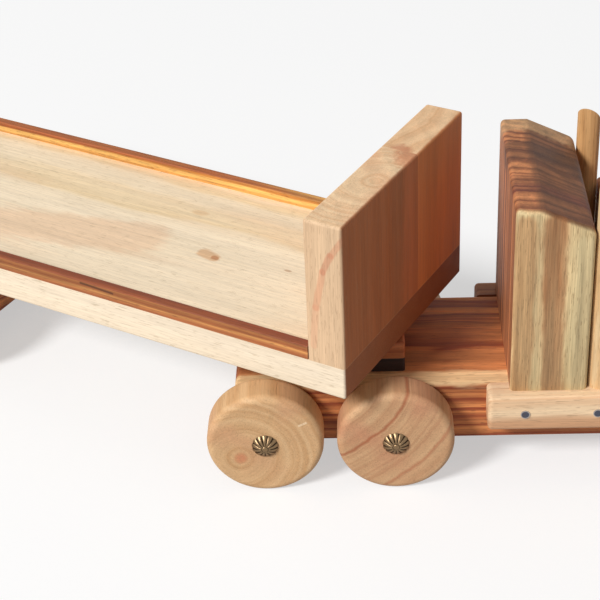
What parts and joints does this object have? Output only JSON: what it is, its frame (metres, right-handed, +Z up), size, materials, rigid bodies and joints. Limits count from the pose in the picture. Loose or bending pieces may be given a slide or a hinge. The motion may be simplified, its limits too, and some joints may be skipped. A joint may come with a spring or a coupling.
{
  "type": "wooden toy flatbed lorry",
  "caption": "Handmade wooden toy lorry: tractor with sleeper box and stacks, flatbed trailer with side rails and headboard hinged on a dowel kingpin, free-rolling wheels.",
  "frame": {"origin": "ground level, centre of the footprint as parked with the trailer swung aside", "axes": "+X the way the tractor faces, +Y to its left, +Z up"},
  "size_m": [0.5173, 0.2444, 0.134],
  "materials": {
    "dark_wood": "sanded and lightly oiled",
    "chassis_wood": "sanded and lightly oiled",
    "sleeper_wood": "sanded and lightly oiled",
    "cab_wood": "sanded and lightly oiled",
    "roof_wood": "sanded and lightly oiled",
    "hood_wood": "sanded and lightly oiled",
    "pale_wood": "sanded and lightly oiled",
    "board_wood": "sanded and lightly oiled",
    "dowel_wood": "sanded and lightly oiled",
    "deck_wood": "sanded and lightly oiled",
    "rail_wood": "sanded and lightly oiled",
    "headboard_wood": "sanded and lightly oiled",
    "wheel_wood": "sanded and lightly oiled",
    "brass_nail": "antique",
    "steel_pin": "plain"
  },
  "bodies": {
    "tractor": {"axle_front": "dowel_wood", "axle_middle": "dowel_wood", "axle_rear": "dowel_wood", "bumper": "roof_wood", "cab_back": "cab_wood", "cab_front": "cab_wood", "cab_roof": "roof_wood", "cab_side_left": "cab_wood", "cab_side_right": "cab_wood", "chassis": "chassis_wood", "exhaust_stack_left": "dowel_wood", "exhaust_stack_right": "dowel_wood", "fender_left": "board_wood", "fender_right": "board_wood", "fifth_wheel_base": "dark_wood", "fifth_wheel_block": "chassis_wood", "grille": "pale_wood", "headlamp_nails": "brass_nail", "hood": "hood_wood", "hub_nails_tractor": "brass_nail", "running_board_left": "board_wood", "running_board_right": "board_wood", "sleeper": "sleeper_wood", "step_pins_left": "steel_pin", "step_pins_right": "steel_pin"},
    "trailer": {"axle_trailer_front": "dowel_wood", "axle_trailer_rear": "dowel_wood", "bogie_block": "chassis_wood", "bogie_spacer": "board_wood", "deck": "deck_wood", "headboard_left": "headboard_wood", "headboard_right": "headboard_wood", "hub_nails_trailer": "brass_nail", "kingpin": "dowel_wood", "rail_left": "rail_wood", "rail_right": "rail_wood"},
    "wheel_front_left": {"wheel_front_left": "wheel_wood"},
    "wheel_front_right": {"wheel_front_right": "wheel_wood"},
    "wheel_middle_left": {"wheel_middle_left": "wheel_wood"},
    "wheel_middle_right": {"wheel_middle_right": "wheel_wood"},
    "wheel_rear_left": {"wheel_rear_left": "wheel_wood"},
    "wheel_rear_right": {"wheel_rear_right": "wheel_wood"},
    "wheel_trailer_front_left": {"wheel_trailer_front_left": "wheel_wood"},
    "wheel_trailer_front_right": {"wheel_trailer_front_right": "wheel_wood"},
    "wheel_trailer_rear_left": {"wheel_trailer_rear_left": "wheel_wood"},
    "wheel_trailer_rear_right": {"wheel_trailer_rear_right": "wheel_wood"}
  },
  "joints": [
    {"name": "hitch", "type": "hinge", "parent": "tractor", "child": "trailer", "pos_m": [0.01665, -0.05975, 0.056], "axis": [0, 0, 1], "range_deg": [-61.5, 118.5]},
    {"name": "wheel_front_left_spin", "type": "hinge", "parent": "tractor", "child": "wheel_front_left", "pos_m": [0.21265, -0.018, 0.024], "axis": [0, 1, 0], "continuous": true},
    {"name": "wheel_front_right_spin", "type": "hinge", "parent": "tractor", "child": "wheel_front_right", "pos_m": [0.21265, -0.1015, 0.024], "axis": [0, 1, 0], "continuous": true},
    {"name": "wheel_middle_left_spin", "type": "hinge", "parent": "tractor", "child": "wheel_middle_left", "pos_m": [0.04205, -0.018, 0.024], "axis": [0, 1, 0], "continuous": true},
    {"name": "wheel_middle_right_spin", "type": "hinge", "parent": "tractor", "child": "wheel_middle_right", "pos_m": [0.04205, -0.1015, 0.024], "axis": [0, 1, 0], "continuous": true},
    {"name": "wheel_rear_left_spin", "type": "hinge", "parent": "tractor", "child": "wheel_rear_left", "pos_m": [-0.01135, -0.018, 0.024], "axis": [0, 1, 0], "continuous": true},
    {"name": "wheel_rear_right_spin", "type": "hinge", "parent": "tractor", "child": "wheel_rear_right", "pos_m": [-0.01135, -0.1015, 0.024], "axis": [0, 1, 0], "continuous": true},
    {"name": "wheel_trailer_front_left_spin", "type": "hinge", "parent": "trailer", "child": "wheel_trailer_front_left", "pos_m": [-0.12601, 0.06521, 0.024], "axis": [0.4772, 0.8788, 0], "continuous": true},
    {"name": "wheel_trailer_front_right_spin", "type": "hinge", "parent": "trailer", "child": "wheel_trailer_front_right", "pos_m": [-0.16585, -0.00817, 0.024], "axis": [0.4772, 0.8788, 0], "continuous": true},
    {"name": "wheel_trailer_rear_left_spin", "type": "hinge", "parent": "trailer", "child": "wheel_trailer_rear_left", "pos_m": [-0.17294, 0.09069, 0.024], "axis": [0.4772, 0.8788, 0], "continuous": true},
    {"name": "wheel_trailer_rear_right_spin", "type": "hinge", "parent": "trailer", "child": "wheel_trailer_rear_right", "pos_m": [-0.21278, 0.01731, 0.024], "axis": [0.4772, 0.8788, 0], "continuous": true}
  ]
}
